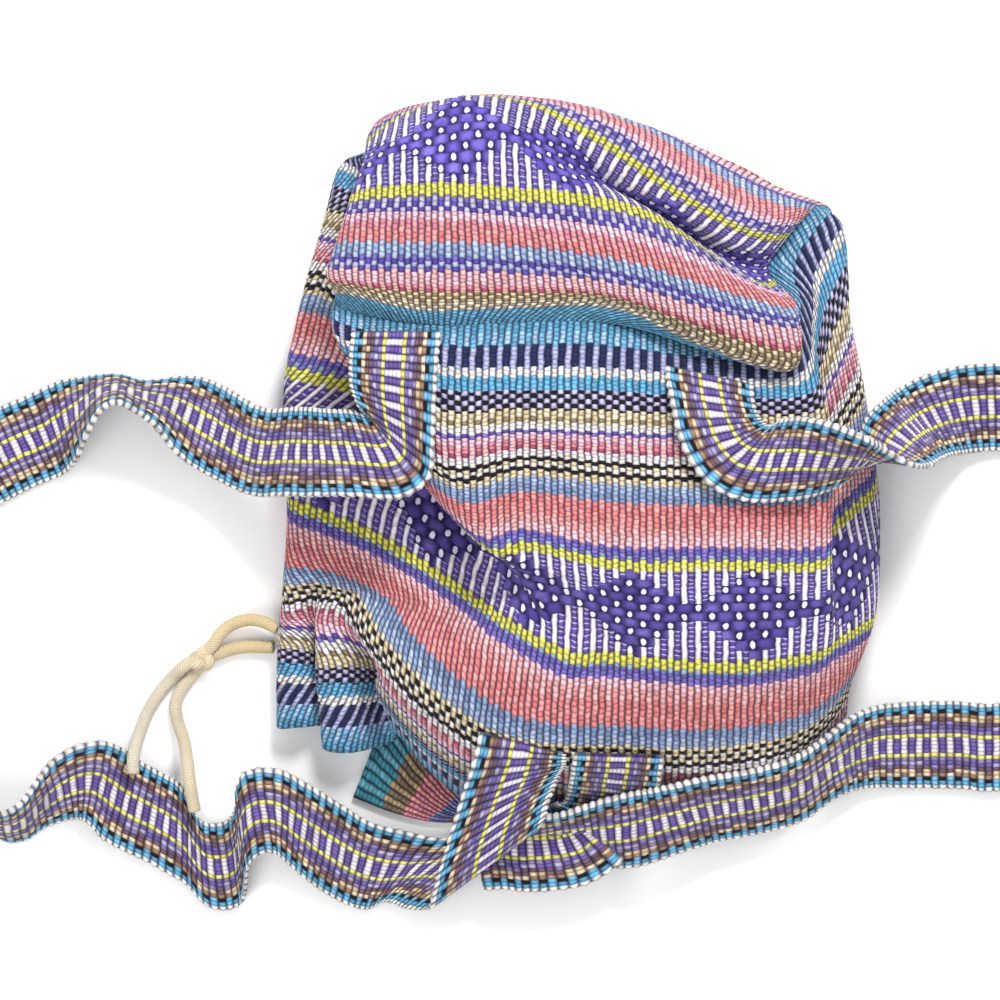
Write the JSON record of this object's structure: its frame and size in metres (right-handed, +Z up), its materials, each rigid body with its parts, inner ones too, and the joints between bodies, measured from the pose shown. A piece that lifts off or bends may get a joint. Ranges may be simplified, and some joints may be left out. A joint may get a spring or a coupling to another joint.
{
  "type": "woven drawstring bag",
  "caption": "Soft hand-woven striped cotton bag with two woven shoulder straps, a gathered drawstring mouth and a tucked flap, laid flat on its front.",
  "frame": {"origin": "on the flat underside of the laid bag, below the half of its wall next to the base", "axes": "+X across the bag along its longest side with the straps, +Y from the gathered mouth to the base, +Z up from the surface it lies on"},
  "size_m": [0.5742, 0.3665, 0.0834],
  "materials": {
    "wall_cloth": "matt striped weave",
    "base_cloth": "matt striped weave",
    "strap_webbing": "matt ribbed webbing",
    "flap_cloth": "matt striped weave",
    "cord_cotton": "matt twisted cotton"
  },
  "bodies": {
    "root": {"body_wall": "wall_cloth", "base_panel": "base_cloth", "strap_left": "strap_webbing", "strap_right": "strap_webbing", "flap": "flap_cloth", "drawstring_upper": "cord_cotton", "drawstring_lower": "cord_cotton", "drawstring_tail_left": "cord_cotton", "drawstring_tail_right": "cord_cotton", "drawstring_knot": "cord_cotton"}
  },
  "joints": []
}
